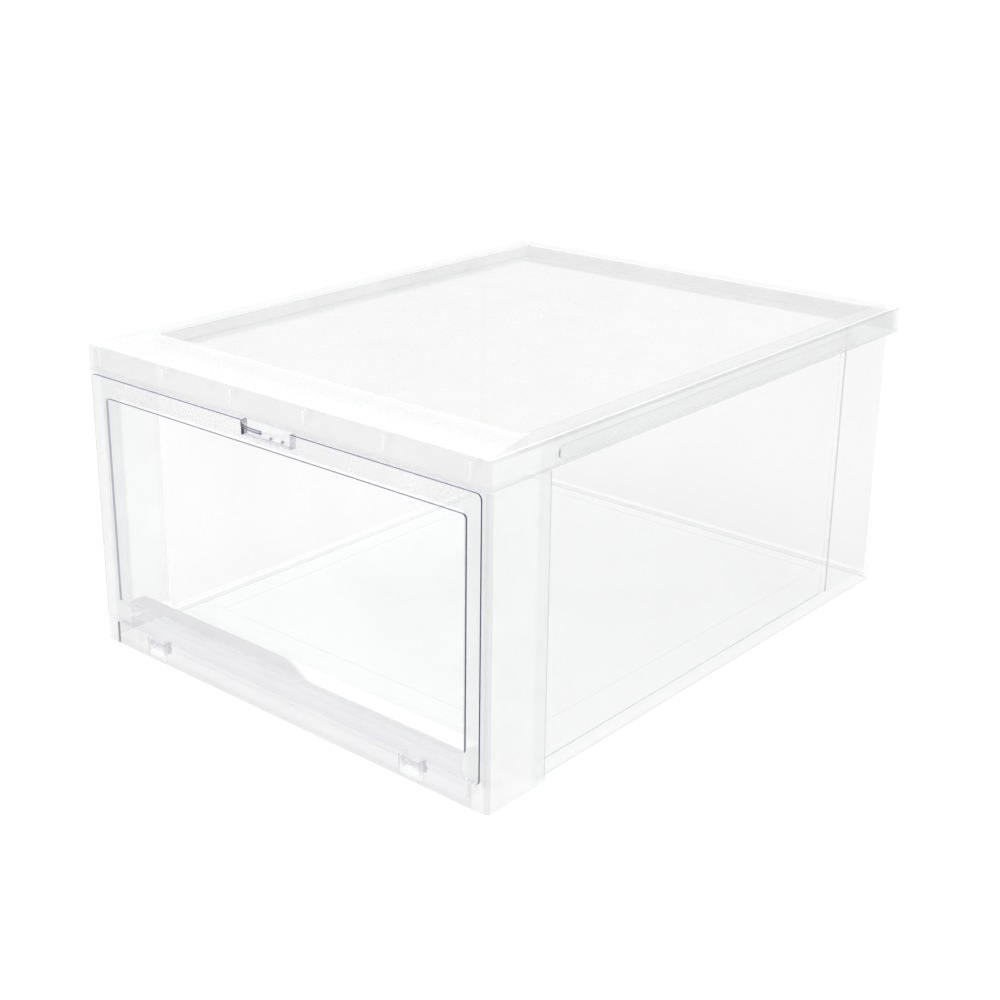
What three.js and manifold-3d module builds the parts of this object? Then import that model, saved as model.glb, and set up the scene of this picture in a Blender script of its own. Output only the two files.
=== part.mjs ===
// Drop-front shoe box: a clear injection-moulded box with a lift-off lid and a front door that folds down.
// Millimetres, +Z up, +X to the right, -Y towards the door.
// The origin is the centre of the footprint, on the floor.
// Inside the box group, y is the distance behind the front face of the lid.
import * as THREE from "three";
import { mergeVertices } from "three/addons/utils/BufferGeometryUtils.js";
import Module from "manifold-3d";

const wasm = await Module();
wasm.setup();

// ---- driving dimensions ----
const width = 270; // across the lid
const depth = 351; // front face to back face of the lid
const height = 164; // floor to the top of the lid
const gap = 0.3; // between neighbouring pieces
const cornerRadius = 3;

// lid
const skirtHeight = 14;
const skirtThick = 2.2;
const topThick = 2.5;
const recessDepth = 7;
const panelThick = 2;
const sideBorder = 13.5;
const frontBorder = 37.5;
const rearBorder = 12.4;
const gussetPitch = 49.65;
const gussetCount = 6;
const gusset = { thick: 1.2, tall: 8, deep: 7 };
const groove = { start: 45.4, end: 301.4, low: 152.2, high: 159, depth: 1.1 };
const scoop = { radius: 11.5, depth: 2.8, wall: 2 };

// side and rear walls
const wallOuter = 131.4; // from the centre plane to the outer face of a side wall
const wallThick = 2;
const rearInset = 2.4; // outer face of the rear wall, in from the back of the lid
const wallRib = { start: 296.5, end: 302.4, proud: 1.2 };
const rearBandProud = 0.6;

// front frame
const frameFace = 3.8; // face that the door closes against, behind the front of the lid
const frameThick = 2.2;
const pillarDepth = 40.5;
const openingHalf = 117.5; // half the width of the door opening
const sillHeight = 24.5;
const sillDepth = 10.2;
const ledgeHeight = 9;
const headerLow = 137.5;
const endBlock = { inner: 124.8, height: 12 };

// floor
const floorTop = 5.5;
const floorThick = 2.2;
const plateau = { half: 109, front: 58, rear: 326, proud: 0.5 };

// door
const doorHalf = 131;
const doorLow = 13.5;
const doorHigh = 149.2;
const doorProud = 1; // door face ahead of the lid face
const doorThick = 4;
const windowHalf = 121.5;
const windowLow = 25;
const windowHigh = 137.5;
const paneThick = 1.6;
const notch = { half: 16.5, low: 141.5 };

// hinge at the foot of the door
const hinge = { y: 1, z: 8.5, centre: 90.2, barrel: 2.4, bore: 1.35, pin: 1.2, knuckle: 10.4 };
const bracket = { half: 7.5, wall: 2, low: 0, high: 12, proud: 1.2, web: 5.2 };

// finger latch at the top of the door
const latch = { half: 15.6, low: 142, thick: 2.2, lipLow: 147.4, lipHigh: 149.4, lipHalf: 16, reach: 6 };

const skirtLow = height - skirtHeight;
const topUnder = height - topThick;
const wallTop = topUnder - gap;
const frameTop = skirtLow - gap;
const recessHalf = width / 2 - sideBorder;
const recessRear = depth - rearBorder;
const panelTop = height - recessDepth;
const wallInner = wallOuter - wallThick;
const rearOuter = depth - rearInset;
const rearInner = rearOuter - wallThick;
const overlap = 1; // how far a cutting solid runs past the face that it opens

// ---- solids ----
function solid(geometry) {
  const bare = geometry.clone();
  bare.deleteAttribute("normal");
  bare.deleteAttribute("uv");
  const merged = mergeVertices(bare, 1e-4);
  return new wasm.Manifold(
    new wasm.Mesh({
      numProp: 3,
      vertProperties: merged.attributes.position.array,
      triVerts: new Uint32Array(merged.index.array),
    }),
  );
}

function geometryOf(manifold) {
  const made = manifold.getMesh();
  const geometry = new THREE.BufferGeometry();
  const positions = new Float32Array(made.vertProperties);
  geometry.setAttribute("position", new THREE.BufferAttribute(positions, 3));
  geometry.setIndex(new THREE.BufferAttribute(new Uint32Array(made.triVerts), 1));
  return geometry;
}

function block([x0, x1], [y0, y1], [z0, z1]) {
  const geometry = new THREE.BoxGeometry(x1 - x0, y1 - y0, z1 - z0);
  geometry.translate((x0 + x1) / 2, (y0 + y1) / 2, (z0 + z1) / 2);
  return solid(geometry);
}

function outline(points) {
  return new THREE.Shape(points.map(([a, b]) => new THREE.Vector2(a, b)));
}

function extrude(shape, length) {
  return new THREE.ExtrudeGeometry(shape, { depth: length, bevelEnabled: false, curveSegments: 5 });
}

// A (y, z) outline run along X.
function alongX(shape, x0, x1) {
  const turn = new THREE.Matrix4().makeBasis(
    new THREE.Vector3(0, 1, 0),
    new THREE.Vector3(0, 0, 1),
    new THREE.Vector3(1, 0, 0),
  );
  return solid(extrude(shape, x1 - x0).applyMatrix4(turn).translate(x0, 0, 0));
}

// An (x, z) outline run along Y.
function alongY(shape, y0, y1) {
  return solid(extrude(shape, y1 - y0).rotateX(Math.PI / 2).translate(0, y1, 0));
}

// An (x, y) outline run along Z.
function alongZ(shape, z0, z1) {
  return solid(extrude(shape, z1 - z0).translate(0, 0, z0));
}

function roundedRectangle(x0, x1, y0, y1, r) {
  const shape = new THREE.Shape();
  shape.absarc(x1 - r, y0 + r, r, -Math.PI / 2, 0);
  shape.absarc(x1 - r, y1 - r, r, 0, Math.PI / 2);
  shape.absarc(x0 + r, y1 - r, r, Math.PI / 2, Math.PI);
  shape.absarc(x0 + r, y0 + r, r, Math.PI, 1.5 * Math.PI);
  return shape;
}

function discPart(radius, z, sweep) {
  const shape = new THREE.Shape();
  shape.absarc(0, z, radius, 0, sweep);
  return shape;
}

function rod(radius, x0, x1) {
  const geometry = new THREE.CylinderGeometry(radius, radius, x1 - x0, 24);
  geometry.rotateZ(Math.PI / 2);
  geometry.translate((x0 + x1) / 2, hinge.y, hinge.z);
  return solid(geometry);
}

// ---- lid ----
function sideGroove(side) {
  const radius = (groove.high - groove.low) / 2;
  const slot = roundedRectangle(groove.start, groove.end, groove.low, groove.high, radius);
  const face = (side * width) / 2;
  const inside = face - side * groove.depth;
  const outside = face + side * overlap;
  return alongX(slot, Math.min(inside, outside), Math.max(inside, outside));
}

// The rim and skirt of the lid round the recess, before it is divided into rails.
function lidRing() {
  const half = width / 2;
  const inner = half - skirtThick;
  const trayHalf = recessHalf + skirtThick;
  const outer = alongZ(roundedRectangle(-half, half, 0, depth, cornerRadius), skirtLow, height);
  const cavity = block(
    [-inner, inner],
    [skirtThick, depth - skirtThick],
    [skirtLow - overlap, topUnder],
  );
  const tray = block(
    [-trayHalf, trayHalf],
    [frontBorder - skirtThick, recessRear + skirtThick],
    [panelTop - panelThick, topUnder + overlap],
  );
  const recess = block([-recessHalf, recessHalf], [frontBorder, recessRear], [0, height + overlap]);
  const hollow = outer.subtract(cavity).add(tray).subtract(recess);
  return hollow.subtract(sideGroove(1)).subtract(sideGroove(-1));
}

const ring = lidRing();

// The thumb scoop bulges into the lid and is open at the bottom edge of the skirt.
function addScoop(rail) {
  const shell = discPart(scoop.radius + scoop.wall, skirtLow, Math.PI);
  const dimple = discPart(scoop.radius, skirtLow, 2 * Math.PI);
  const bulged = rail.add(alongY(shell, skirtThick / 2, scoop.depth + scoop.wall));
  return bulged.subtract(alongY(dimple, -overlap, scoop.depth));
}

function lidFrontRail() {
  const front = block([-width, width], [-overlap, frontBorder], [0, height + overlap]);
  let rail = addScoop(ring.intersect(front));
  const web = outline([
    [skirtThick / 2, topUnder + overlap / 2],
    [skirtThick / 2, height - gusset.tall],
    [skirtThick, height - gusset.tall],
    [skirtThick + gusset.deep, topUnder + overlap / 2],
  ]);
  for (let i = 0; i < gussetCount; i++) {
    const x = (i - (gussetCount - 1) / 2) * gussetPitch;
    rail = rail.add(alongX(web, x - gusset.thick / 2, x + gusset.thick / 2));
  }
  return rail;
}

function lidRearRail() {
  return ring.intersect(block([-width, width], [recessRear, depth + overlap], [0, height + overlap]));
}

function lidSideRail(side) {
  const far = side * width;
  const span = [Math.min(0, far), Math.max(0, far)];
  return ring.intersect(block(span, [frontBorder + gap, recessRear - gap], [0, height + overlap]));
}

function lidPanel() {
  const half = recessHalf - gap;
  return block([-half, half], [frontBorder + gap, recessRear - gap], [panelTop - panelThick, panelTop]);
}

// ---- body ----
function sideWall() {
  const plain = block([wallInner, wallOuter], [pillarDepth + gap, rearInner - gap], [0, wallTop]);
  const foot = floorTop + gap;
  const brow = panelTop - panelThick - gap;
  const ribFace = wallInner - wallRib.proud;
  const bandFace = wallInner - rearBandProud;
  const rib = block([ribFace, wallInner + overlap], [wallRib.start, wallRib.end], [foot, brow]);
  const band = block([bandFace, wallInner + overlap], [wallRib.end, rearInner - gap], [foot, brow]);
  return plain.add(rib).add(band);
}

function rearWall() {
  return block([-wallOuter, wallOuter], [rearInner, rearOuter], [0, wallTop]);
}

// The right front pillar: door flange, outer wall, and the return that meets the side wall.
function pillar() {
  const half = width / 2;
  const back = pillarDepth;
  const plan = new THREE.Shape();
  plan.moveTo(openingHalf, frameFace);
  plan.lineTo(half, frameFace);
  plan.lineTo(half, back);
  plan.lineTo(wallInner, back);
  plan.lineTo(wallInner, back - frameThick);
  plan.lineTo(half - frameThick, back - frameThick);
  plan.lineTo(half - frameThick, frameFace + frameThick);
  plan.lineTo(openingHalf, frameFace + frameThick);
  const foot = new THREE.Shape();
  foot.moveTo(endBlock.inner, 0);
  foot.absarc(half - cornerRadius, cornerRadius, cornerRadius, -Math.PI / 2, 0);
  foot.lineTo(half, frameFace + cornerRadius);
  foot.lineTo(half - frameThick, frameFace + cornerRadius);
  foot.lineTo(half - frameThick, frameFace + frameThick / 2);
  foot.lineTo(endBlock.inner, frameFace + frameThick / 2);
  return alongZ(plan, 0, frameTop).add(alongZ(foot, 0, endBlock.height));
}

// The threshold: an upright channel under the door opening and a low ledge that runs back to the floor.
function frontSill() {
  const half = openingHalf - gap;
  const back = frameFace + sillDepth;
  const wide = width / 2 - frameThick - gap;
  const inside = frameFace + frameThick + gap;
  const rear = pillarDepth - gap;
  const channel = outline([
    [frameFace, 0],
    [frameFace, sillHeight],
    [back, sillHeight],
    [back, 0],
    [back - frameThick, 0],
    [back - frameThick, sillHeight - frameThick],
    [frameFace + frameThick, sillHeight - frameThick],
    [frameFace + frameThick, 0],
  ]);
  const ledge = [ledgeHeight - frameThick, ledgeHeight];
  let sill = alongX(channel, -half, half);
  sill = sill.add(block([-wide, wide], [back - frameThick / 2, rear - frameThick], ledge));
  const leg = wallInner - gap;
  sill = sill.add(block([-leg, leg], [rear - 2 * frameThick, rear], [0, ledgeHeight]));
  for (const side of [-1, 1]) {
    const cap = [side * half, side * (half - frameThick)].sort((a, b) => a - b);
    const patch = [side * (half - frameThick), side * wide].sort((a, b) => a - b);
    sill = sill.add(block(cap, [frameFace, back], [0, sillHeight]));
    sill = sill.add(block(patch, [inside, back], ledge));
  }
  return sill;
}

// The upright strip of the frame that stands beside the door, flush with the front of the lid.
function doorJamb() {
  const half = width / 2;
  const inner = doorHalf + gap;
  const plan = new THREE.Shape();
  plan.moveTo(inner, 0);
  plan.absarc(half - cornerRadius, cornerRadius, cornerRadius, -Math.PI / 2, 0);
  plan.lineTo(half, frameFace - gap);
  plan.lineTo(inner, frameFace - gap);
  return alongZ(plan, endBlock.height + gap, frameTop);
}

// One length of the strip below the door, flush with the front of the lid.
function frontApron(start, end) {
  return block([start, end], [0, frameFace - gap], [0, endBlock.height]);
}

function frontHeader() {
  const half = openingHalf - gap;
  return block([-half, half], [frameFace, frameFace + frameThick], [headerLow, frameTop]);
}

function floorTray() {
  const half = wallInner - gap;
  const under = floorTop - floorThick;
  const slab = block([-half, half], [pillarDepth + gap, rearInner - gap], [under, floorTop]);
  const raised = block(
    [-plateau.half, plateau.half],
    [plateau.front, plateau.rear],
    [under, floorTop + plateau.proud],
  );
  return slab.add(raised);
}

// A U-shaped cradle on the sill that carries one hinge pin.
function hingeBracket(side) {
  const x = side * hinge.centre;
  const front = -bracket.proud;
  const back = frameFace - gap;
  const cradle = block([x - bracket.half, x + bracket.half], [front, back], [bracket.low, bracket.high]);
  const slot = bracket.half - bracket.wall;
  const room = block(
    [x - slot, x + slot],
    [front - overlap, back + overlap],
    [bracket.low + bracket.web, height],
  );
  const bore = rod(hinge.bore, x - bracket.half - overlap, x + bracket.half + overlap);
  return cradle.subtract(room).subtract(bore);
}

// ---- door ----
function knuckle(side) {
  const x = side * hinge.centre;
  const half = hinge.knuckle / 2;
  const back = doorThick - doorProud;
  const arm = block([x - half, x + half], [-doorProud, back], [hinge.z, doorLow + overlap]);
  const bore = rod(hinge.bore, x - half - overlap, x + half + overlap);
  return arm.add(rod(hinge.barrel, x - half, x + half)).subtract(bore);
}

function doorFrame() {
  const back = doorThick - doorProud;
  const through = [-doorProud - overlap, back + overlap];
  const border = roundedRectangle(-doorHalf, doorHalf, doorLow, doorHigh, cornerRadius);
  const outer = alongY(border, -doorProud, back);
  const window = roundedRectangle(-windowHalf, windowHalf, windowLow, windowHigh, cornerRadius / 2);
  const opening = alongY(window, ...through);
  const cut = block([-notch.half, notch.half], through, [notch.low, height]);
  return outer.subtract(opening).subtract(cut).add(knuckle(-1)).add(knuckle(1));
}

function doorPane() {
  const back = doorThick - doorProud;
  const pane = roundedRectangle(
    -windowHalf + gap,
    windowHalf - gap,
    windowLow + gap,
    windowHigh - gap,
    cornerRadius / 2 - gap,
  );
  return alongY(pane, back - paneThick, back);
}

function doorLatch() {
  const plate = block([-latch.half, latch.half], [0, latch.thick], [latch.low, latch.lipHigh]);
  const lip = new THREE.Shape();
  lip.absellipse(0, 0, latch.lipHalf, latch.reach + doorProud, Math.PI, 2 * Math.PI);
  lip.lineTo(latch.lipHalf, latch.thick / 2);
  lip.lineTo(-latch.lipHalf, latch.thick / 2);
  return plate.add(alongZ(lip, latch.lipLow, latch.lipHigh));
}

function hingePin(side) {
  const x = side * hinge.centre;
  const half = bracket.half - gap;
  return rod(hinge.pin, x - half, x + half);
}

// ---- assembly ----
const milky = { color: 0xeef1ef, roughness: 0.32, metalness: 0, transparent: true, opacity: 0.55 };
const clear = { color: 0xf6f8fb, roughness: 0.06, metalness: 0, transparent: true, opacity: 0.25 };

function piece(name, manifold, look, mirrored = false) {
  const mesh = new THREE.Mesh(geometryOf(manifold), new THREE.MeshStandardMaterial(look));
  mesh.name = name;
  mesh.scale.x = mirrored ? -1 : 1;
  return mesh;
}

const body = new THREE.Group();
body.add(piece("floor_tray", floorTray(), milky));
body.add(piece("right_wall", sideWall(), clear));
body.add(piece("left_wall", sideWall(), clear, true));
body.add(piece("rear_wall", rearWall(), clear));
body.add(piece("right_pillar", pillar(), milky));
body.add(piece("left_pillar", pillar(), milky, true));
body.add(piece("front_sill", frontSill(), milky));
body.add(piece("front_header", frontHeader(), milky));
body.add(piece("right_door_jamb", doorJamb(), milky));
body.add(piece("left_door_jamb", doorJamb(), milky, true));
const apronEnd = endBlock.inner - gap;
const bracketOuter = hinge.centre + bracket.half + gap;
const bracketInner = hinge.centre - bracket.half - gap;
body.add(piece("left_front_apron", frontApron(-apronEnd, -bracketOuter), milky));
body.add(piece("middle_front_apron", frontApron(-bracketInner, bracketInner), milky));
body.add(piece("right_front_apron", frontApron(bracketOuter, apronEnd), milky));
body.add(piece("left_hinge_bracket", hingeBracket(-1), milky));
body.add(piece("right_hinge_bracket", hingeBracket(1), milky));

const lid = new THREE.Group();
lid.add(piece("lid_front_rail", lidFrontRail(), milky));
lid.add(piece("lid_rear_rail", lidRearRail(), milky));
lid.add(piece("lid_left_rail", lidSideRail(-1), milky));
lid.add(piece("lid_right_rail", lidSideRail(1), milky));
lid.add(piece("lid_panel", lidPanel(), milky));

const door = new THREE.Group();
door.add(piece("door_frame", doorFrame(), clear));
door.add(piece("door_pane", doorPane(), clear));
door.add(piece("door_latch", doorLatch(), clear));
door.add(piece("left_hinge_pin", hingePin(-1), clear));
door.add(piece("right_hinge_pin", hingePin(1), clear));

// The finger lip is the foremost point, so the footprint reaches that far ahead of the lid.
const overallDepth = depth + doorProud + latch.reach;
const shoeBox = new THREE.Group();
shoeBox.position.y = doorProud + latch.reach - overallDepth / 2;
shoeBox.add(body, lid, door);

export default shoeBox;
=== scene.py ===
import math

import bmesh
import bpy
from mathutils import Matrix, Vector


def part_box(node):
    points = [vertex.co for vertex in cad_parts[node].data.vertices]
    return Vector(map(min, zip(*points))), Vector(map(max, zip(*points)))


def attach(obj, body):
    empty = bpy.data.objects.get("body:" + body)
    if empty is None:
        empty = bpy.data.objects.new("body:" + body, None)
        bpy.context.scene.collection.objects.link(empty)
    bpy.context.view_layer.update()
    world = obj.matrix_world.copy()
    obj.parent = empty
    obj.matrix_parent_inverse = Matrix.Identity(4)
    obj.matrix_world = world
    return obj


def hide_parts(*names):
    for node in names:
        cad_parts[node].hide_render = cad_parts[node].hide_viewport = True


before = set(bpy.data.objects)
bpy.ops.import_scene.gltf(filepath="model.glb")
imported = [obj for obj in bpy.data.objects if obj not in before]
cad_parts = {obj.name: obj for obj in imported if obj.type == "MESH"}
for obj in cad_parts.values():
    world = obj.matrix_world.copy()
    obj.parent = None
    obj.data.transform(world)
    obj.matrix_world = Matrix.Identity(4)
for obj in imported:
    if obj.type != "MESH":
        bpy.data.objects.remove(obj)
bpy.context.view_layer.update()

MM = 0.001
LID_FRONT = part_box("lid_front_rail")[0].y
ARC_STEPS = 6
WELD = 0.02


# ---- places, in millimetres: x, d behind the front of the lid, z ----
def span(node, axis):
    low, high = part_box(node)
    start = LID_FRONT if axis == 1 else 0.0
    return (low[axis] - start) / MM, (high[axis] - start) / MM


LID_HALF = span("lid_front_rail", 0)[1]
LID_BACK = span("lid_rear_rail", 1)[1]
LID_TOP = span("lid_front_rail", 2)[1]
SKIRT_LOW = span("lid_rear_rail", 2)[0]
GAP = 0.3
PANEL_LOW, PANEL_TOP = span("lid_panel", 2)
RECESS_HALF = span("lid_panel", 0)[1] + GAP
RECESS_FRONT = span("lid_panel", 1)[0] - GAP
RECESS_BACK = span("lid_panel", 1)[1] + GAP
WALL_OUT = span("right_wall", 0)[1]
WALL_TOP = span("right_wall", 2)[1]
WALL = 2.0
REAR_OUT = span("rear_wall", 1)[1]
PILLAR_TOP = span("right_pillar", 2)[1]
PILLAR_BACK = span("right_pillar", 1)[1]
OPENING_HALF = 117.5
REBATE = span("right_door_jamb", 0)[0]
APRON_TOP = span("middle_front_apron", 2)[1]
SILL_TOP = span("front_sill", 2)[1]
FRAME_FACE = span("front_header", 1)[0]
HEADER_LOW = span("front_header", 2)[0]
FLOOR_LOW = span("floor_tray", 2)[0]
FLOOR_TOP = 5.5
FOOT = 0.8
RIB = (296.5, 302.4)
SHEET = 2.2
SILL_DEEP = 10.2
LEDGE = (6.8, 9.0)
LEDGE_HALF = 133.4
BORE = 1.35
NOTCH_FLOOR = 5.2
CRADLE_HALF = 7.5
KNUCKLE_HALF = 5.2
KNUCKLE_GAP = 0.3
GUSSETS, GUSSET_PITCH = 6, 49.65
WALL_DRAFT = 3.8
BLOCK_IN = 124.8
SEAM_DEEP = 1.1
GROOVE, GROOVE_Z, GROOVE_DEEP = (45.4, 301.4), (152.2, 159.0), 1.1
DOOR_HALF = span("door_frame", 0)[1]
DOOR_FRONT, DOOR_BACK = -1.0, 3.0
# Depth ahead of which the door's edge faces carry a painted shade line.
DOOR_DARK = -0.5
NOTCH = 16.5
DOOR_TOP = span("door_frame", 2)[1]
DOOR_LOW = 13.5
WINDOW_HALF = span("door_pane", 0)[1] + GAP
WINDOW_LOW = span("door_pane", 2)[0] - GAP
WINDOW_TOP = span("door_pane", 2)[1] + GAP
PANE_FRONT = span("door_pane", 1)[0]
# Depth behind which the window's step walls carry a painted shade line.
STEP_DARK = PANE_FRONT - 1.3
PIN_X = sum(span("right_hinge_pin", 0)) / 2
PIN_D = sum(span("right_hinge_pin", 1)) / 2
PIN_Z = sum(span("right_hinge_pin", 2)) / 2


# ---- meshes ----
def solid(verts, faces):
    mesh = bpy.data.meshes.new("solid")
    mesh.from_pydata(verts, [], faces)
    bm = bmesh.new()
    bm.from_mesh(mesh)
    bmesh.ops.remove_doubles(bm, verts=bm.verts, dist=1e-5)
    bmesh.ops.recalc_face_normals(bm, faces=bm.faces)
    bm.to_mesh(mesh)
    bm.free()
    obj = bpy.data.objects.new("solid", mesh)
    bpy.context.scene.collection.objects.link(obj)
    return obj


ALONG = {
    "x": lambda u, v, w: (w, u, v),
    "d": lambda u, v, w: (u, w, v),
    "z": lambda u, v, w: (u, v, w),
}


def skin(loops, axis="z"):
    """A closed solid through outlines of equal length; each is (points, place along the axis)."""
    order = ALONG[axis]
    n = len(loops[0][0])
    verts = [order(u, v, w) for points, w in loops for u, v in points]
    faces = [tuple(range(n)), tuple(range(len(verts) - n, len(verts)))]
    for k in range(len(loops) - 1):
        for i in range(n):
            j = (i + 1) % n
            faces.append((k * n + i, k * n + j, (k + 1) * n + j, (k + 1) * n + i))
    return solid(verts, faces)


def prism(points, axis, start, end):
    return skin([(points, start), (points, end)], axis)


def block(x, d, z):
    return prism([(x[0], d[0]), (x[1], d[0]), (x[1], d[1]), (x[0], d[1])], "z", *z)


def arc(u, v, r, start, end, steps=ARC_STEPS, r2=None):
    r2 = r if r2 is None else r2
    angles = [math.radians(start + (end - start) * i / steps) for i in range(steps + 1)]
    return [(u + r * math.cos(a), v + r2 * math.sin(a)) for a in angles]


def rounded(u0, u1, v0, v1, r):
    return (
        arc(u1 - r, v0 + r, r, -90, 0)
        + arc(u1 - r, v1 - r, r, 0, 90)
        + arc(u0 + r, v1 - r, r, 90, 180)
        + arc(u0 + r, v0 + r, r, 180, 270)
    )


def rod(axis, u, v, r, start, end, steps=32):
    return prism(arc(u, v, r, 0, 360 * (steps - 1) / steps, steps - 1), axis, start, end)


def bake(obj):
    depsgraph = bpy.context.evaluated_depsgraph_get()
    mesh = bpy.data.meshes.new_from_object(obj.evaluated_get(depsgraph))
    obj.modifiers.clear()
    obj.data = mesh


def join(base, tool, operation="UNION"):
    mod = base.modifiers.new("boolean", "BOOLEAN")
    mod.operation = operation
    mod.object = tool
    mod.solver = "MANIFOLD"
    bake(base)
    bpy.data.objects.remove(tool)
    return base


def cut(base, tool):
    return join(base, tool, "DIFFERENCE")


def union(solids):
    base = solids[0]
    for tool in solids[1:]:
        join(base, tool)
    return base


def mirrored(build):
    """What build makes for the right side, and the same for the left."""
    found = []
    for side in (1, -1):
        for obj in build():
            obj.data.transform(Matrix.Diagonal((side, 1, 1, 1)))
            if side < 0:
                obj.data.flip_normals()
            found.append(obj)
    return found


def weld(obj):
    """Merges the doubled points that joining leaves behind."""
    bm = bmesh.new()
    bm.from_mesh(obj.data)
    bmesh.ops.remove_doubles(bm, verts=bm.verts, dist=WELD)
    bmesh.ops.dissolve_degenerate(bm, edges=bm.edges, dist=WELD)
    bm.to_mesh(obj.data)
    bm.free()


def finish_mesh(obj, name, width, angle=40, segments=2):
    """Welds the mesh, rounds its sharp edges by width, takes it to metres and names it.

    The faces that rounding makes get material slot 1. A mesh with no width keeps square edges."""
    obj.name = obj.data.name = name
    weld(obj)
    for _ in range(2):
        obj.data.materials.append(None)
    if width:
        mod = obj.modifiers.new("bevel", "BEVEL")
        mod.width = width
        mod.segments = segments
        mod.limit_method = "ANGLE"
        mod.angle_limit = math.radians(angle)
        mod.use_clamp_overlap = True
        mod.material = 1
        bake(obj)
    obj.data.transform(Matrix.Translation((0, LID_FRONT, 0)) @ Matrix.Scale(MM, 4))
    for polygon in obj.data.polygons:
        polygon.use_smooth = True
    obj.data.set_sharp_from_angle(angle=math.radians(35))
    mod = obj.modifiers.new("normals", "WEIGHTED_NORMAL")
    mod.keep_sharp = True
    bake(obj)
    return obj


def paint(obj, rule):
    """Gives each face the material that rule names from its middle and direction, in millimetres."""
    faces = []
    for polygon in obj.data.polygons:
        x, y, z = polygon.center
        place = (x / MM, (y - LID_FRONT) / MM, z / MM)
        faces.append(rule(place, polygon.normal, polygon.material_index == 1))
    names = sorted(set(faces))
    obj.data.materials.clear()
    for name in names:
        obj.data.materials.append(MATERIALS[name])
    for polygon, name in zip(obj.data.polygons, faces):
        polygon.material_index = names.index(name)


# ---- lid ----
def rim(inset, radius=3.0):
    r = max(radius - inset, 0.8)
    return rounded(-LID_HALF + inset, LID_HALF - inset, inset, LID_BACK - inset, r)


def tray(out, radius=2.5):
    r = max(radius + out, 0.8)
    return rounded(-RECESS_HALF - out, RECESS_HALF + out, RECESS_FRONT - out, RECESS_BACK + out, r)


def lid_shell():
    top_under = LID_TOP - 2.5
    return skin([
        (tray(1.0), PANEL_LOW),
        (tray(1.8), PANEL_LOW + 0.4),
        (tray(2.2), PANEL_LOW + 1.2),
        (tray(2.2), top_under - 0.8),
        (tray(3.0), top_under),
        (rim(3.0), top_under),
        (rim(2.2), top_under - 0.8),
        (rim(2.2), SKIRT_LOW + 0.5),
        (rim(1.8), SKIRT_LOW),
        (rim(0.3), SKIRT_LOW),
        (rim(-0.2), SKIRT_LOW + 0.3),
        (rim(-0.35), SKIRT_LOW + 0.8),
        (rim(-0.2), SKIRT_LOW + 1.4),
        (rim(0.0), SKIRT_LOW + 1.8),
        (rim(0.0), LID_TOP - 1.6),
        (rim(0.2), LID_TOP - 0.8),
        (rim(0.7), LID_TOP - 0.25),
        (rim(1.9), LID_TOP),
        (tray(1.3), LID_TOP),
        (tray(0.6), LID_TOP - 0.2),
        (tray(0.15), LID_TOP - 0.7),
        (tray(0.0), LID_TOP - 1.3),
        (tray(-0.1), PANEL_TOP + 1.6),
        (tray(-0.4), PANEL_TOP + 0.7),
        (tray(-0.9), PANEL_TOP + 0.2),
        (tray(-1.7), PANEL_TOP),
    ])


def gussets():
    """Small webs behind the front of the lid, their fronts 0.02 mm proud of its skirt, where their bright
    white shows as a painted highlight.
    """
    webs = []
    for i in range(GUSSETS):
        x = (i - (GUSSETS - 1) / 2) * GUSSET_PITCH
        top = [(-0.02, x - 1.1), (9.2, x - 1.1), (9.2, x + 1.1), (-0.02, x + 1.1)]
        low = [(-0.02, x - 0.55), (1.6, x - 0.55), (1.6, x + 0.55), (-0.02, x + 0.55)]
        loops = ((low, SKIRT_LOW + 4.5), (top, LID_TOP - 2.0))
        webs.append(skin([([(u, d) for d, u in points], z) for points, z in loops]))
    return webs


def build_gussets():
    webs = union(gussets())
    finish_mesh(webs, "lid_gussets", 0.2, 50)
    # The webs are real; their bright white fronts are a painted highlight where web meets skirt.
    paint(webs, lambda place, normal, rounded_edge: "gusset")
    return webs


def build_lid():
    lid = lid_shell()
    for side in (-1, 1):
        slot = rounded(GROOVE[0], GROOVE[1], GROOVE_Z[0], GROOVE_Z[1], 3.3)
        face = side * LID_HALF
        floor, past = face - side * GROOVE_DEEP, face + side
        cut(lid, prism(slot, "x", min(floor, past), max(floor, past)))
    finish_mesh(lid, "lid_moulding", 0.3, 50)
    paint(lid, lid_rule)
    return lid


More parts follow.
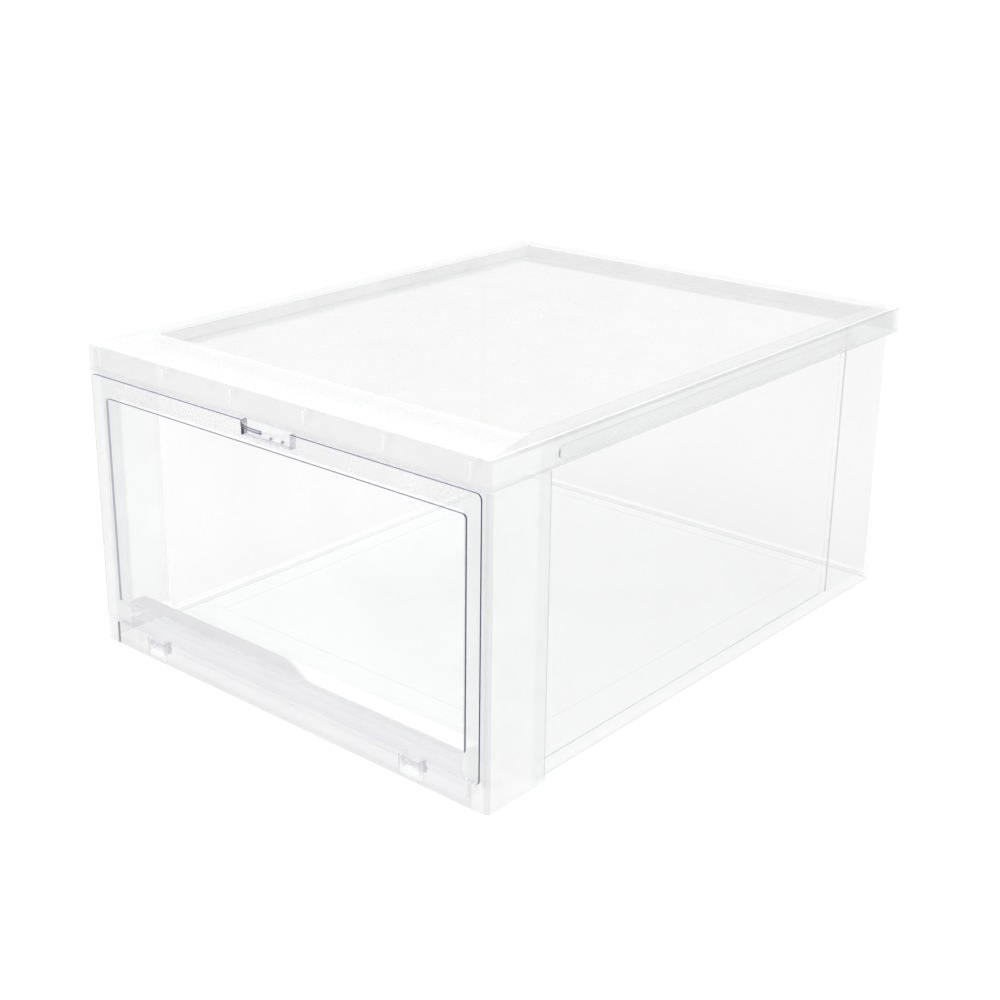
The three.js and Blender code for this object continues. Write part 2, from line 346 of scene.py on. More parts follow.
def lid_rule(place, normal, rounded_edge):
    x, d, z = place
    inside = abs(x) < RECESS_HALF + 0.5 and RECESS_FRONT - 0.5 < d < RECESS_BACK + 0.5
    if inside:
        if normal.z > 0.9 and z < PANEL_TOP + 0.1:
            return "panel"
        # Recess walls and their edges: greyer copies of the lid plastic, painted shade in the recess.
        if z < PANEL_TOP + 0.5:
            return "rim_edge"
        return "rim" if z < LID_TOP - 0.4 else "lid_edge"
    # The groove: greyer walls and edges, painted shade in the groove, and a dark tint on its front end, a
    # painted shade line.
    along = GROOVE[0] - 1 < d < GROOVE[1] + 1 and GROOVE_Z[0] - 0.5 < z < GROOVE_Z[1] + 0.5
    if along and abs(x) > LID_HALF - GROOVE_DEEP - 0.1:
        if abs(abs(x) - LID_HALF + GROOVE_DEEP) < 0.05:
            return "groove"
        if abs(x) < LID_HALF - 0.02:
            if normal.y > 0.8:
                return "groove_mark"
            return "groove" if normal.z > 0.5 or normal.y < -0.5 else "groove_edge"
    # The top edge's facet is dark on the left and rear and pale on the front and right, and the top border
    # is greyer behind its front strip: painted light and shade.
    if LID_TOP - 0.25 < z < LID_TOP - 0.01:
        return "outline" if normal.x < -0.05 or normal.y > 0.05 else "border"
    if z > LID_TOP - 0.05:
        return "border" if d < RECESS_FRONT or normal.z < 0.5 else "border_side"
    # The rounded top edge and the lip get darker copies: painted shade lines.
    if z > LID_TOP - 1.7:
        return "lid_edge"
    if z < SKIRT_LOW + 1.8:
        return "lip" if z > SKIRT_LOW + 0.4 else "lip_edge"
    # The front of the skirt gets a darker copy than its sides: painted shade.
    return "skirt" if abs(normal.y) > 0.5 else "skirt_side"


# ---- box ----
def build_walls():
    outer = WALL_OUT
    front = PILLAR_BACK - 1.5
    round_out, round_in = 1.2, 0.5

    def plan(thick):
        half = outer - thick
        rear = REAR_OUT - thick
        points = [(outer, front)] + arc(outer - round_out, REAR_OUT - round_out, round_out, 0, 90)
        points += arc(-outer + round_out, REAR_OUT - round_out, round_out, 90, 180)
        points += [(-outer, front), (-half, front)]
        points += arc(-half + round_in, rear - round_in, round_in, 180, 90)
        points += arc(half - round_in, rear - round_in, round_in, 90, 0)
        return points + [(half, front)]

    return skin([(plan(FOOT), 0), (plan(WALL), 1.4), (plan(WALL), WALL_TOP)])


def wall_ribs():
    inner = WALL_OUT - WALL
    yield block((inner - 1.0, inner + 1), RIB, (FLOOR_TOP - 1, WALL_TOP - 0.5))


def pillar():
    plan = [(OPENING_HALF, FRAME_FACE), (REBATE, FRAME_FACE), (REBATE, 0)] + arc(LID_HALF - 3, 3, 3, -90, 0)
    plan += [(LID_HALF, PILLAR_BACK - 0.5), (LID_HALF - 0.9, PILLAR_BACK), (WALL_OUT - WALL, PILLAR_BACK)]
    plan += [(WALL_OUT - WALL, PILLAR_BACK - SHEET), (LID_HALF - SHEET, PILLAR_BACK - SHEET)]
    plan += [(LID_HALF - SHEET, FRAME_FACE + SHEET), (OPENING_HALF, FRAME_FACE + SHEET)]
    yield prism(plan, "z", 0, PILLAR_TOP)
    yield block((BLOCK_IN, LID_HALF - 3), (0, FRAME_FACE + 1), (0, APRON_TOP))


def front_sill():
    half = OPENING_HALF + 0.5
    back = FRAME_FACE + SILL_DEEP
    inner, under = FRAME_FACE + SHEET, SILL_TOP - SHEET
    channel = [(FRAME_FACE, 0), (FRAME_FACE, SILL_TOP), (back, SILL_TOP), (back, 0)]
    channel += [(back - SHEET, 0), (back - SHEET, under), (inner, under), (inner, 0)]
    yield prism(channel, "x", -half, half)
    seam, end, rear = BLOCK_IN - 0.4, BLOCK_IN + 1, FRAME_FACE + 1
    plan = [(-seam, 0), (seam, 0), (seam, SEAM_DEEP), (end, SEAM_DEEP)]
    plan += [(end, rear), (-end, rear), (-end, SEAM_DEEP), (-seam, SEAM_DEEP)]
    apron = prism(plan, "z", 0, APRON_TOP)
    for x in (-PIN_X, PIN_X):
        notch = KNUCKLE_HALF + KNUCKLE_GAP
        cut(apron, block((x - notch, x + notch), (-1, FRAME_FACE), (NOTCH_FLOOR, 20)))
        cut(apron, rod("x", PIN_D, PIN_Z, BORE, x - 8, x + 8))
    yield apron
    yield block((-LEDGE_HALF, LEDGE_HALF), (back - 1, PILLAR_BACK - 1), LEDGE)
    yield block((-130.0, 130.0), (PILLAR_BACK - 4.7, PILLAR_BACK - 0.3), (0, LEDGE[1]))
    yield block((-half, half), (FRAME_FACE, inner), (HEADER_LOW, PILLAR_TOP))


def side_cap():
    back = FRAME_FACE + SILL_DEEP
    yield block((OPENING_HALF - SHEET, OPENING_HALF + 1), (FRAME_FACE, back), (0, SILL_TOP))
    yield block((OPENING_HALF - 1, LEDGE_HALF), (FRAME_FACE + 1, FRAME_FACE + 11), LEDGE)


def hinge_cradle():
    x0, x1 = PIN_X - CRADLE_HALF, PIN_X + CRADLE_HALF
    cradle = block((x0, x1), (-1.2, 1), (2, APRON_TOP))
    cut(cradle, block((x0 + 2, x1 - 2), (-3, 2), (NOTCH_FLOOR, 20)))
    cut(cradle, rod("x", PIN_D, PIN_Z, BORE, x0 - 1, x1 + 1))
    yield cradle


def floor_tray():
    half = WALL_OUT - WALL + 0.5
    rear = REAR_OUT - WALL + 0.5
    front = PILLAR_BACK - 1
    yield block((-half, half), (front, rear), (FLOOR_LOW, FLOOR_TOP))
    yield block((-109, 109), (58, 326), (FLOOR_LOW + 0.3, FLOOR_TOP + 0.5))
    # A low step along each side wall, whose inner face carries a painted shade line where wall meets floor.
    for side in (-1, 1):
        inner, outer = side * (half - 1.5), side * half
        across = (min(inner, outer), max(inner, outer))
        yield block(across, (front, RIB[0] + 1), (FLOOR_TOP - 0.5, FLOOR_TOP + 0.9))


def draft(obj):
    """Draws the sides of the box in towards their foot, most at the front."""
    for vertex in obj.data.vertices:
        x, d, z = vertex.co
        start = min(max((d - PILLAR_BACK) / 3, 0), 1)
        fade = min(max((REAR_OUT - 15 - d) / (REAR_OUT - PILLAR_BACK), 0), 1)
        vertex.co.x = x * (1 - WALL_DRAFT / WALL_OUT * start * fade * (1 - z / WALL_TOP))


def build_box():
    parts = [build_walls()] + mirrored(lambda: list(wall_ribs())) + mirrored(lambda: list(pillar()))
    parts += list(front_sill()) + mirrored(lambda: list(side_cap())) + list(floor_tray())
    parts += mirrored(lambda: list(hinge_cradle()))
    box = union(parts)
    draft(box)
    finish_mesh(box, "box_moulding", None)
    paint(box, box_rule)
    return box


def box_rule(place, normal, rounded_edge):
    x, d, z = place
    if d < PILLAR_BACK + 0.2:
        return front_rule(x, d, z, normal)
    # The right foot's underside gets a dark tint and the other feet a paler one: painted shade lines along
    # the feet; the floor's underside tint paints the shade under the box.
    if normal.z < -0.9 and z < 0.1:
        return "foot" if x > 100 and d < REAR_OUT - 3 else "foot_rear"
    if normal.z < -0.9 and z < FLOOR_TOP:
        return "floor_under"
    if rounded_edge and d > REAR_OUT - 4 and z < FLOOR_TOP + 1:
        return "rib_front"
    # The steps' inner faces: a painted shade line where wall meets floor.
    if abs(x) > 115 and FLOOR_TOP < z < FLOOR_TOP + 0.9 and abs(normal.x) > 0.3:
        return "floor_line"
    if normal.z > 0.9 and z < FLOOR_TOP + 1:
        return "floor"
    # The ribs: a dark tint on the right rib's rear face and white front faces paint a shade line and a
    # highlight; the left rib's rear stays pale.
    if RIB[0] - 1 < d < RIB[1] + 1 and abs(x) < WALL_OUT - WALL + 0.1 and abs(normal.y) > 0.5:
        if normal.y < 0:
            return "rib_front"
        return "rib_rear" if x > 0 else "rib_left"
    return "wall"


def front_rule(x, d, z, normal):
    """The part of the box that stands ahead of its side walls."""
    # The sill's top gets the grey with the painted reflection.
    if FRAME_FACE + 0.5 < d < FRAME_FACE + 10 and abs(z - SILL_TOP) < 0.1 and normal.z > 0.9:
        return "sill"
    # The right pillar's rounded front corner gets a darker copy: a painted shade line.
    if x > REBATE and d < 3.1 and normal.y < -0.15 and normal.x > 0.15:
        return "pillar_corner"
    if d < FRAME_FACE and z < APRON_TOP + 0.2:
        return apron_rule(x, d, z, normal)
    # The pillars: the right one's side lightest, its front and the left pillar darker, and a dark tint on
    # the right pillar's rear edge: painted light and shade.
    if abs(x) > OPENING_HALF:
        if normal.y > 0.7 and normal.x > 0 and x > 0:
            return "pillar_edge"
        if x < 0:
            return "pillar_left"
        return "pillar" if abs(normal.x) > 0.7 else "pillar_front"
    if d > FRAME_FACE + 2:
        return "sill_inside"
    return "header" if z > SILL_TOP + 1 else "sill_front"


def apron_rule(x, d, z, normal):
    # The end blocks' seams: dark on the left and pale on the right, painted shade lines on a real step; the
    # cradles' sides get a darker copy, painted shade lines.
    if abs(x) > PIN_X + 10 and abs(normal.x) > 0.7 and abs(abs(x) - BLOCK_IN) < 0.6:
        return "seam_left" if x < 0 else "seam_right"
    if abs(abs(x) - PIN_X) < 7.7:
        if d < -0.1 or abs(abs(x) - PIN_X) < 5.6:
            return "cradle_edge" if abs(normal.x) > 0.7 else "cradle"
    if normal.z < -0.9:
        return "apron_foot"
    # The left end block gets a darker copy than the right one: painted shade.
    if abs(x) > BLOCK_IN:
        return "pillar_front" if x > 0 else "end_left"
    return "apron"


# ---- door ----
def door_loop(grow, radius=3.0):
    return rounded(-DOOR_HALF - grow, DOOR_HALF + grow, DOOR_LOW - grow, DOOR_TOP + grow, radius + grow)


def window_loop(grow, radius=2.2):
    half = WINDOW_HALF + grow
    return rounded(-half, half, WINDOW_LOW - grow, WINDOW_TOP + grow, radius + grow)


def door_shell():
    return skin([
        (door_loop(-0.4), DOOR_BACK),
        (door_loop(0), DOOR_BACK - 0.4),
        (door_loop(0), DOOR_DARK),
        (door_loop(0), DOOR_FRONT + 0.3),
        (door_loop(-0.3), DOOR_FRONT),
        (window_loop(0.4), DOOR_FRONT),
        (window_loop(0.1), DOOR_FRONT + 0.4),
        (window_loop(0), STEP_DARK),
        (window_loop(-0.2), PANE_FRONT),
    ], "d")


def knuckle():
    x0, x1 = PIN_X - KNUCKLE_HALF, PIN_X + KNUCKLE_HALF
    arm = block((x0, x1), (DOOR_FRONT, DOOR_BACK), (PIN_Z, DOOR_LOW + 1))
    join(arm, rod("x", PIN_D, PIN_Z, 2.4, x0, x1))
    cut(arm, rod("x", PIN_D, PIN_Z, BORE, x0 - 1, x1 + 1))
    yield arm


def build_door():
    door = door_shell()
    for arm in mirrored(lambda: list(knuckle())):
        join(door, arm)
    cut(door, block((-NOTCH, NOTCH), (DOOR_FRONT - 1, DOOR_BACK + 1), (141.5, 160)))
    finish_mesh(door, "door_moulding", 0.2, 60)
    paint(door, door_rule)
    return door


def door_rule(place, normal, rounded_edge):
    x, d, z = place
    if abs(x) < WINDOW_HALF - 0.1 and WINDOW_LOW + 0.1 < z < WINDOW_TOP - 0.1 and abs(normal.y) > 0.9:
        return "pane"
    if abs(normal.y) > 0.9:
        return "door"
    # The window's step walls: dark behind the step's dark depth, darkest seen from inside, and pale ahead
    # of it: painted shade lines round the window.
    if abs(x) < WINDOW_HALF + 0.6 and WINDOW_LOW - 0.6 < z < WINDOW_TOP + 0.6:
        if z < WINDOW_LOW + 0.6 and normal.z > 0.5:
            return "step_low"
        if d > STEP_DARK:
            return "step_left" if normal.x > 0.5 else "step_dark"
        return "step_front" if d < DOOR_FRONT + 0.4 else "step_pale"
    if z < DOOR_LOW:
        return "knuckle"
    # In the notch the left wall is dark and the right one pale: painted shade lines.
    if abs(x) < NOTCH + 0.5 and z > 141:
        if normal.x < -0.5 and x > 0:
            return "notch_pale"
        if normal.x < -0.5:
            return "notch_dark"
        return "door_dark" if normal.x > 0.5 and z > 145 else "door_pale"
    # The door's edge faces ahead of the dark depth carry painted shade lines: darkest on the right, dark on
    # the top, grey on the left and bottom.
    if x < -DOOR_HALF + 3 and normal.x < -0.5:
        return "door_left" if d < DOOR_DARK else "step_pale"
    if d < DOOR_DARK:
        if normal.z < -0.5:
            return "door_low"
        return "door_dark" if normal.x > 0.3 else "door_top"
    return "door_pale"


def build_latch():
    plate = block((-15.6, 15.6), (0, 2.2), (142, 149.4))
    rim_line = [(16, 1.1), (-16, 1.1)] + arc(0, 0, 16, 180, 360, 24, 7.0)
    inset = [(15.7, 1.1), (-15.7, 1.1)] + arc(0, 0, 15.7, 180, 360, 24, 6.7)
    join(plate, skin([(inset, 147.4), (rim_line, 147.7), (rim_line, 148.1), (inset, 148.3),
                      (inset, 148.6), (rim_line, 148.8), (rim_line, 149.2), (inset, 149.4)]))
    for x, z in ((-4.5, 144.6), (2.5, 143.6), (10.5, 143.8)):
        cut(plate, rod("d", x, z, 0.7, -0.5, 0.9, 16))
    finish_mesh(plate, "finger_latch", 0.2, 50)
    paint(plate, latch_rule)
    return plate


def latch_rule(place, normal, rounded_edge):
    x, d, z = place
    # The lip's edges are dark except on its right and along its middle band, the walls of the three dots
    # are dark, and the plate's left end is dark and its right end pale: painted shade lines, and painted
    # shade in the dots, which are real hollows.
    if d < -0.2 and abs(normal.z) < 0.9:
        if 148.25 < z < 148.65 or x > 4:
            return "step_pale"
        return "latch_dark"
    if z < 146 and abs(x) < 12 and 0.2 < d < 1.5:
        return "latch_dark"
    if abs(x) > 15 and z < 147:
        return "latch_dark" if x < 0 else "door_pale"
    return "latch"


def build_pin(side):
    pin = rod("x", PIN_D, PIN_Z, 1.2, side * PIN_X - 7.2, side * PIN_X + 7.2)
    finish_mesh(pin, "hinge_pin_right" if side > 0 else "hinge_pin_left", 0.25, 50)
    paint(pin, lambda place, normal, rounded_edge: "knuckle")
    return pin


# ---- materials ----
# Clear plastic without refraction: each face passes light straight through with a tint of its own.
# One plastic gets several lighter and darker copies below, by face, side and direction: painted light
# and shade. Dark tints on edge faces, many of them seen from inside, paint the shade lines that clear
# plastic shows along its edges.
def maths(tree, operation, a, b):
    made = tree.nodes.new("ShaderNodeMath")
    made.operation = operation
    made.use_clamp = True
    for socket, value in zip(made.inputs, (a, b)):
        if isinstance(value, (int, float)):
            socket.default_value = value
        else:
            tree.links.new(value, socket)
    return made.outputs[0]


def noise(tree, scale, detail, low, high):
    """A number that wanders from low to high over the object."""
    place = tree.nodes.new("ShaderNodeTexCoord")
    cloud = tree.nodes.new("ShaderNodeTexNoise")
    cloud.inputs["Scale"].default_value = scale
    cloud.inputs["Detail"].default_value = detail
    tree.links.new(place.outputs["Object"], cloud.inputs["Vector"])
    ranged = tree.nodes.new("ShaderNodeMapRange")
    for key, value in (("From Min", 0.3), ("From Max", 0.7), ("To Min", low), ("To Max", high)):
        ranged.inputs[key].default_value = value
    tree.links.new(cloud.outputs["Fac"], ranged.inputs["Value"])
    return ranged.outputs["Result"]


def blend(tree, factor, a, b):
    made = tree.nodes.new("ShaderNodeMix")
    made.data_type = "RGBA"
    made.inputs[6].default_value = (*a, 1)
    made.inputs[7].default_value = (*b, 1)
    tree.links.new(factor, made.inputs[0])
    return made.outputs[2]


def mixed(tree, factor, a, b):
    made = tree.nodes.new("ShaderNodeMixShader")
    if isinstance(factor, (int, float)):
        made.inputs[0].default_value = factor
    else:
        tree.links.new(factor, made.inputs[0])
    tree.links.new(a, made.inputs[1])
    tree.links.new(b, made.inputs[2])
    return made.outputs[0]


def plastic(name, front, haze, colour=(0.97, 0.975, 0.972), behind=(1, 1, 1), glow=0.5, rough=0.3,
            vary=0.02, rim=0.04, size=25, grain=900, fade=None):
    """Moulded plastic. front and behind are what passes a face from outside and from inside it, haze the
    share that the face scatters, and glow how much of that goes on through it. fade is a direction, the
    two places along it in metres between which the surface turns whiter, and how white it turns; it
    marks where a painted reflection ends."""
    mat = bpy.data.materials.new(name)
    mat.use_nodes = True
    tree = mat.node_tree
    tree.nodes.clear()
    link = tree.links.new
    cloud = noise(tree, size, 3.0, 0, 1)
    dim = 1 - vary

    def varied(tone):
        mottled = blend(tree, cloud, [c * dim for c in tone], tone)
        if fade is None:
            return mottled
        # Whiter past a line across the object: the end of a painted reflection.
        direction, start, end, white = fade
        place = tree.nodes.new("ShaderNodeTexCoord")
        along = tree.nodes.new("ShaderNodeVectorMath")
        along.operation = "DOT_PRODUCT"
        along.inputs[1].default_value = direction
        tree.links.new(place.outputs["Object"], along.inputs[0])
        ranged = tree.nodes.new("ShaderNodeMapRange")
        ranged.interpolation_type = "SMOOTHSTEP"
        ranged.inputs["From Min"].default_value = start
        ranged.inputs["From Max"].default_value = end
        tree.links.new(along.outputs["Value"], ranged.inputs["Value"])
        whiter = blend(tree, ranged.outputs["Result"], tone, white)
        tree.links.new(mottled, whiter.node.inputs[6])
        return whiter

    shade = tree.nodes.new("ShaderNodeBsdfPrincipled")
    shade.inputs["IOR"].default_value = 1.49
    link(varied(colour), shade.inputs["Base Color"])
    link(noise(tree, grain, 2.0, rough * 0.85, rough * 1.15), shade.inputs["Roughness"])
    milk = tree.nodes.new("ShaderNodeBsdfTranslucent")
    link(varied(colour), milk.inputs["Color"])
    facing = tree.nodes.new("ShaderNodeLayerWeight")
    facing.inputs["Blend"].default_value = 0.3
    amount = maths(tree, "ADD", noise(tree, size * 2, 2.0, haze * (1 - vary), min(haze * (1 + vary), 1)),
                   maths(tree, "MULTIPLY", facing.outputs["Facing"], rim))
    through = tree.nodes.new("ShaderNodeBsdfTransparent")
    link(varied(front), through.inputs["Color"])
    body = mixed(tree, amount, through.outputs[0], mixed(tree, glow, shade.outputs[0], milk.outputs[0]))
    inner = tree.nodes.new("ShaderNodeBsdfTransparent")
    inner.inputs["Color"].default_value = (*behind, 1)
    side = tree.nodes.new("ShaderNodeNewGeometry")
    out = tree.nodes.new("ShaderNodeOutputMaterial")
    link(mixed(tree, side.outputs["Backfacing"], body, inner.outputs[0]), out.inputs["Surface"])
    return mat


WHITE = (0.985, 0.985, 0.985)
# Dark violet for the painted shade line along the door's right edges.
PAINTED_EDGE_SHADE = (0.10, 0.10, 0.16)
# Where the painted reflection on the sill top gives way to white, on a slanted line across the sill.
SILL_REFLECTION_EDGE = 0.020 + 2.45 * (LID_FRONT + 0.004)
SILL_REFLECTION_FADE = ((1, 2.45, 0), SILL_REFLECTION_EDGE - 0.006, SILL_REFLECTION_EDGE + 0.006, (1.12, 1.12, 1.12))
MATERIALS = {
    # The lid is one plastic in lighter and darker copies: the top border whitest, greyer behind its front
    # strip, the top edge, lip, recess and groove greyer, and the front of the skirt darker than its sides:
    # painted light and shade.
    "border": plastic("lid_border_plastic", (0.97, 0.97, 0.97), 0.75, WHITE, vary=0.01),
    "border_side": plastic("lid_side_border_plastic", (0.92, 0.92, 0.92), 0.55,
                           (0.91, 0.915, 0.913), vary=0.02),
    "outline": plastic("lid_top_edge_shade_plastic", (0.76, 0.76, 0.76), 0.5, (0.74, 0.74, 0.74)),
    "skirt": plastic("lid_front_plastic", (0.87, 0.87, 0.87), 0.5, (0.885, 0.885, 0.885), vary=0.03),
    "skirt_side": plastic("lid_side_plastic", (0.905, 0.915, 0.912), 0.5,
                          (0.94, 0.948, 0.945), vary=0.03, size=12),
    "lid_edge": plastic("lid_edge_plastic", (0.84, 0.845, 0.843), 0.5, (0.87, 0.875, 0.873)),
    "lip": plastic("lid_lip_plastic", (0.90, 0.90, 0.90), 0.6, (0.90, 0.90, 0.90)),
    "lip_edge": plastic("lid_lip_edge_plastic", (0.85, 0.85, 0.87), 0.4, (0.8, 0.8, 0.82),
                        behind=(0.93, 0.93, 0.94)),
    "rim": plastic("lid_recess_plastic", (0.945, 0.945, 0.945), 0.5, (0.955, 0.955, 0.955), vary=0.03),
    "rim_edge": plastic("lid_recess_edge_plastic", (0.86, 0.86, 0.86), 0.5, (0.88, 0.88, 0.88)),
    "groove": plastic("lid_groove_plastic", (0.89, 0.90, 0.895), 0.5, (0.91, 0.92, 0.915)),
    "groove_edge": plastic("lid_groove_edge_plastic", (0.8, 0.81, 0.81), 0.5,
                           (0.8, 0.81, 0.81), behind=(0.8, 0.81, 0.81)),
    "groove_mark": plastic("lid_groove_end_shade_plastic", (0.8, 0.81, 0.81), 0.5,
                           (0.8, 0.81, 0.81), behind=(0.12, 0.12, 0.14)),
    "panel": plastic("lid_panel_plastic", (0.915, 0.915, 0.912), 0.42, (0.91, 0.91, 0.908), vary=0.015),
    # The webs are real; their bright white fronts, just proud of the skirt, are a painted highlight where
    # web meets skirt.
    "gusset": plastic("lid_gusset_highlight_plastic", (1, 1, 1), 0.8, (1, 1, 1)),
    # The box is one plastic; its pillars, end blocks, seams and cradles get lighter and darker copies by
    # side and face: the right pillar's side lightest, its front and the left pillar darker, darker still
    # its rounded corner, the left end block and the cradles' sides, with dark tints on the right pillar's
    # rear edge and the left seam: painted light and shade.
    "pillar": plastic("pillar_side_plastic", (0.945, 0.95, 0.947), 0.42,
                      (0.948, 0.955, 0.952), rough=0.4, vary=0.03),
    "pillar_left": plastic("pillar_left_plastic", (0.935, 0.938, 0.938), 0.4,
                           (0.93, 0.933, 0.933), rough=0.4, vary=0.03),
    "pillar_front": plastic("pillar_front_plastic", (0.93, 0.932, 0.93), 0.35,
                            (0.925, 0.93, 0.927), rough=0.4),
    "pillar_edge": plastic("pillar_edge_shade_plastic", (0.9, 0.91, 0.91), 0.5,
                           (0.93, 0.94, 0.94), behind=(0.6, 0.61, 0.63)),
    "pillar_corner": plastic("pillar_corner_shade_plastic", (0.85, 0.853, 0.85), 0.35,
                             (0.86, 0.863, 0.86), rough=0.4),
    "end_left": plastic("end_block_plastic", (0.885, 0.885, 0.887), 0.4, (0.88, 0.88, 0.883), rough=0.4),
    # Dark on the left seam, pale on the right: painted shade lines.
    "seam_left": plastic("end_seam_left_plastic", (0.6, 0.6, 0.62), 0.3, (0.6, 0.6, 0.62),
                         behind=(0.45, 0.45, 0.48)),
    "seam_right": plastic("end_seam_right_plastic", (0.9, 0.9, 0.91), 0.3, (0.9, 0.9, 0.91),
                          behind=(0.92, 0.92, 0.93)),
    "apron": plastic("apron_plastic", (0.875, 0.875, 0.883), 0.2, (0.83, 0.83, 0.843), vary=0.03),
    "apron_foot": plastic("apron_foot_plastic", (0.9, 0.9, 0.9), 0.2, behind=(0.96, 0.96, 0.965)),
    "cradle": plastic("cradle_plastic", (0.97, 0.97, 0.97), 0.3, (0.93, 0.93, 0.94)),
    # The cradles' sides: painted shade lines.
    "cradle_edge": plastic("cradle_edge_plastic", (0.88, 0.88, 0.9), 0.3, (0.88, 0.88, 0.9),
                           behind=(0.86, 0.86, 0.87)),
    "header": plastic("header_plastic", (0.945, 0.945, 0.947), 0.25, (0.91, 0.91, 0.913), vary=0.03),
    "sill_front": plastic("sill_front_plastic", (0.995, 0.995, 0.995), 0.06, (0.98, 0.98, 0.98), vary=0.02),
    "sill_inside": plastic("sill_inside_plastic", (0.995, 0.995, 0.995), 0.05,
                           (0.95, 0.95, 0.95), vary=0.02),
    # The sill top is grey and turns white past a slanted line: a painted reflection on its glossy top.
    "sill": plastic("sill_reflection_plastic", (0.66, 0.66, 0.67), 0.7, (0.86, 0.86, 0.87), rough=0.1, fade=SILL_REFLECTION_FADE),
    "wall": plastic("wall_plastic", (0.935, 0.935, 0.935), 0.05, (0.93, 0.93, 0.93), rough=0.1,
                    rim=0.02, vary=0.03, size=6),
    # Dark tints seen from inside paint the shade line along the right foot, paler ones along the other
    # feet, the shade under the box on the floor's underside, and the line where wall meets floor.
    "foot": plastic("wall_foot_shade_plastic", (0.9, 0.9, 0.9), 0.1, behind=(0.5, 0.5, 0.52)),
    "foot_rear": plastic("wall_foot_rear_plastic", (0.9, 0.9, 0.9), 0.1, behind=(0.82, 0.83, 0.83)),
    "floor": plastic("floor_plastic", (0.99, 0.995, 0.992), 0.05, (0.97, 0.98, 0.975),
                     rough=0.2, rim=0.02, size=10),
    "floor_under": plastic("floor_underside_shade_plastic", (0.95, 0.965, 0.955), 0.1,
                           behind=(0.988, 0.99, 0.99)),
    "floor_line": plastic("floor_edge_shade_plastic", (0.97, 0.97, 0.97), 0.1, behind=(0.8, 0.81, 0.84)),
    # The right rib's rear face is dark and the ribs' fronts white: a painted shade line and a painted
    # highlight; the left rib's rear stays pale.
    "rib_rear": plastic("rib_rear_shade_plastic", (0.9, 0.9, 0.9), 0.1, behind=(0.74, 0.75, 0.75)),
    "rib_left": plastic("rib_left_plastic", (0.97, 0.97, 0.97), 0.1, behind=(0.95, 0.95, 0.95)),
    "rib_front": plastic("rib_front_plastic", (1, 1, 1), 0.2),
    "door": plastic("door_plastic", (0.98, 0.98, 0.984), 0.07, (0.96, 0.96, 0.97), rough=0.08, rim=0.02),
    "pane": plastic("pane_plastic", (0.98, 0.98, 0.983), 0.04, (0.94, 0.94, 0.955), rough=0.05,
                    rim=0.02, vary=0.04, size=15),
    # Dark tints on the door's edge faces paint the shade lines along its outline, darkest on the right,
    # dark on the top, grey on the left and bottom; the pale ones are the inner side of those lines.
    "door_dark": plastic("door_edge_shade_plastic", PAINTED_EDGE_SHADE, 0.2, PAINTED_EDGE_SHADE, behind=(0.93, 0.93, 0.95)),
    "door_top": plastic("door_top_plastic", (0.3, 0.3, 0.38), 0.2, (0.3, 0.3, 0.38),
                        behind=(0.93, 0.93, 0.95)),
    "door_left": plastic("door_left_plastic", (0.6, 0.6, 0.65), 0.2, (0.6, 0.6, 0.65),
                         behind=(0.75, 0.75, 0.78)),
    "door_low": plastic("door_foot_plastic", (0.6, 0.6, 0.65), 0.2, (0.6, 0.6, 0.65),
                        behind=(0.92, 0.92, 0.93)),
    "door_pale": plastic("door_side_plastic", (0.92, 0.92, 0.95), 0.2, (0.92, 0.92, 0.95),
                         behind=(0.97, 0.97, 0.98)),
    # The notch's walls: painted shade lines, darker on the left.
    "notch_dark": plastic("notch_edge_shade_plastic", (0.9, 0.9, 0.93), 0.2, (0.9, 0.9, 0.93),
                          behind=(0.45, 0.45, 0.52)),
    "notch_pale": plastic("notch_side_plastic", (0.9, 0.9, 0.93), 0.2, (0.9, 0.9, 0.93),
                          behind=(0.75, 0.75, 0.8)),
    # The window's step walls: painted shade lines round the window, with pale tints ahead of them.
    "step_dark": plastic("window_edge_shade_plastic", (0.5, 0.5, 0.56), 0.2, (0.5, 0.5, 0.56),
                         behind=(0.08, 0.08, 0.15)),
    "step_left": plastic("window_left_plastic", (0.55, 0.55, 0.6), 0.2, (0.55, 0.55, 0.6),
                         behind=(0.4, 0.4, 0.46)),
    "step_pale": plastic("window_side_plastic", (0.95, 0.95, 0.96), 0.2, WHITE, behind=(0.98, 0.98, 0.98)),
    "step_front": plastic("window_lip_plastic", (0.9, 0.9, 0.92), 0.2, WHITE, behind=(0.75, 0.75, 0.79)),
    "step_low": plastic("window_ledge_plastic", (0.9, 0.9, 0.91), 0.3, (0.9, 0.9, 0.91)),
    "latch": plastic("latch_plastic", (0.99, 0.99, 1.0), 0.45, WHITE),
    # Painted shade lines on the latch's edges and painted shade in its dots.
    "latch_dark": plastic("latch_edge_shade_plastic", (0.4, 0.4, 0.48), 0.3, (0.4, 0.4, 0.48),
                          behind=(0.75, 0.75, 0.8)),
    "knuckle": plastic("hinge_plastic", (0.96, 0.96, 0.97), 0.2, (0.96, 0.96, 0.97),
                       behind=(0.97, 0.97, 0.975)),
}

lid = build_lid()
webs = build_gussets()
box = build_box()
door = build_door()
latch = build_latch()
pins = [build_pin(side) for side in (-1, 1)]

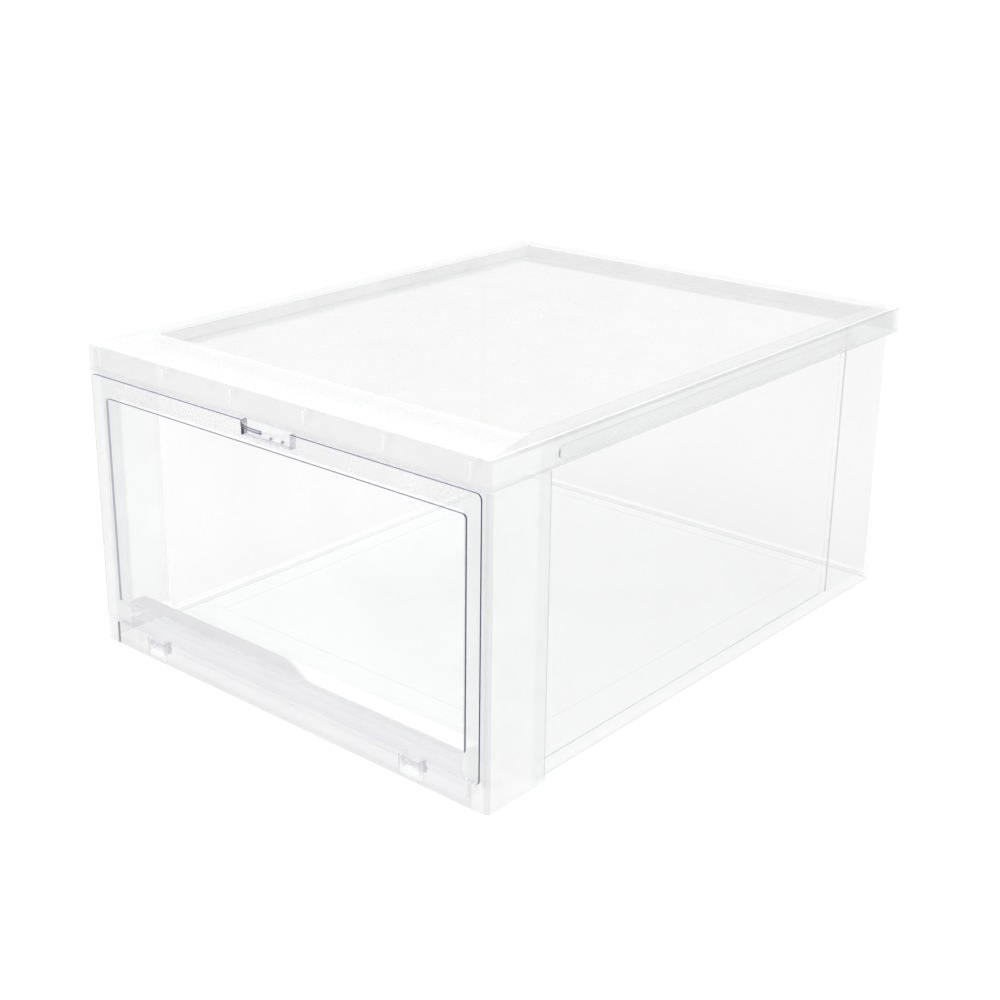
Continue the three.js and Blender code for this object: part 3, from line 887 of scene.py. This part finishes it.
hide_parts("lid_front_rail", "lid_rear_rail", "lid_left_rail", "lid_right_rail", "lid_panel")
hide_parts("floor_tray", "left_wall", "right_wall", "rear_wall", "left_pillar", "right_pillar",
            "front_sill", "front_header", "left_hinge_bracket", "right_hinge_bracket", "left_door_jamb",
            "right_door_jamb", "left_front_apron", "middle_front_apron", "right_front_apron")
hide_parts("door_frame", "door_pane")
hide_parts("door_latch")
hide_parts("left_hinge_pin")
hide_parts("right_hinge_pin")
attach(lid, "lid")
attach(webs, "lid")
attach(box, "box")
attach(door, "door")
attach(latch, "latch")
for pin in pins:
    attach(pin, "door")


# ---- stage, light and camera ----
def stage_floor():
    mesh = bpy.data.meshes.new("studio_floor")
    mesh.from_pydata([(-30, -30, 0), (30, -30, 0), (30, 30, 0), (-30, 30, 0)], [], [(0, 1, 2, 3)])
    floor = bpy.data.objects.new("studio_floor", mesh)
    bpy.context.scene.collection.objects.link(floor)
    mat = bpy.data.materials.new("studio_floor")
    mat.use_nodes = True
    shade = mat.node_tree.nodes["Principled BSDF"]
    shade.inputs["Base Color"].default_value = (0.36, 0.36, 0.36, 1)
    shade.inputs["Emission Color"].default_value = (1, 1, 1, 1)
    shade.inputs["Emission Strength"].default_value = 0.68
    shade.inputs["Roughness"].default_value = 0.9
    shade.inputs["Specular IOR Level"].default_value = 0.1
    mesh.materials.append(mat)


def sun_light(name, towards, strength, spread):
    data = bpy.data.lights.new(name, "SUN")
    data.energy = strength
    data.angle = math.radians(spread)
    lamp = bpy.data.objects.new(name, data)
    lamp.rotation_euler = Vector(towards).to_track_quat("Z", "Y").to_euler()
    bpy.context.scene.collection.objects.link(lamp)


def set_camera():
    data = bpy.data.cameras.new("camera")
    data.lens = 58.34
    data.sensor_width = 36
    data.shift_x = 0.0475
    data.shift_y = -0.0383
    data.clip_end = 100
    camera = bpy.data.objects.new("camera", data)
    bpy.context.scene.collection.objects.link(camera)
    turn, lift, roll = math.radians(41.696), math.radians(19.389), math.radians(0.180)
    back = Vector((math.sin(turn) * math.cos(lift), -math.cos(turn) * math.cos(lift), math.sin(lift)))
    right = Vector((math.cos(turn), math.sin(turn), 0))
    up = back.cross(right)
    across = math.cos(roll) * right + math.sin(roll) * up
    above = -math.sin(roll) * right + math.cos(roll) * up
    matrix = Matrix((across, above, back)).transposed().to_4x4()
    matrix.translation = Vector((0.5323, -0.6413, 0.3803))
    camera.matrix_world = matrix
    bpy.context.scene.camera = camera


def set_world(strength):
    world = bpy.data.worlds.new("studio")
    world.use_nodes = True
    background = world.node_tree.nodes["Background"]
    background.inputs["Color"].default_value = (1, 1, 1, 1)
    seen = world.node_tree.nodes.new("ShaderNodeLightPath").outputs["Is Camera Ray"]
    lit = world.node_tree.nodes.new("ShaderNodeMapRange")
    lit.inputs["To Min"].default_value = strength
    lit.inputs["To Max"].default_value = 1
    world.node_tree.links.new(seen, lit.inputs["Value"])
    world.node_tree.links.new(lit.outputs["Result"], background.inputs["Strength"])
    bpy.context.scene.world = world


stage_floor()
set_world(0.85)
sun_light("key_light", (-0.25, -0.3, 1.0), 1.1, 70)
set_camera()
scene = bpy.context.scene
scene.view_settings.view_transform = "Standard"
scene.cycles.transparent_max_bounces = 64
scene.cycles.max_bounces = 16
scene.cycles.diffuse_bounces = 8
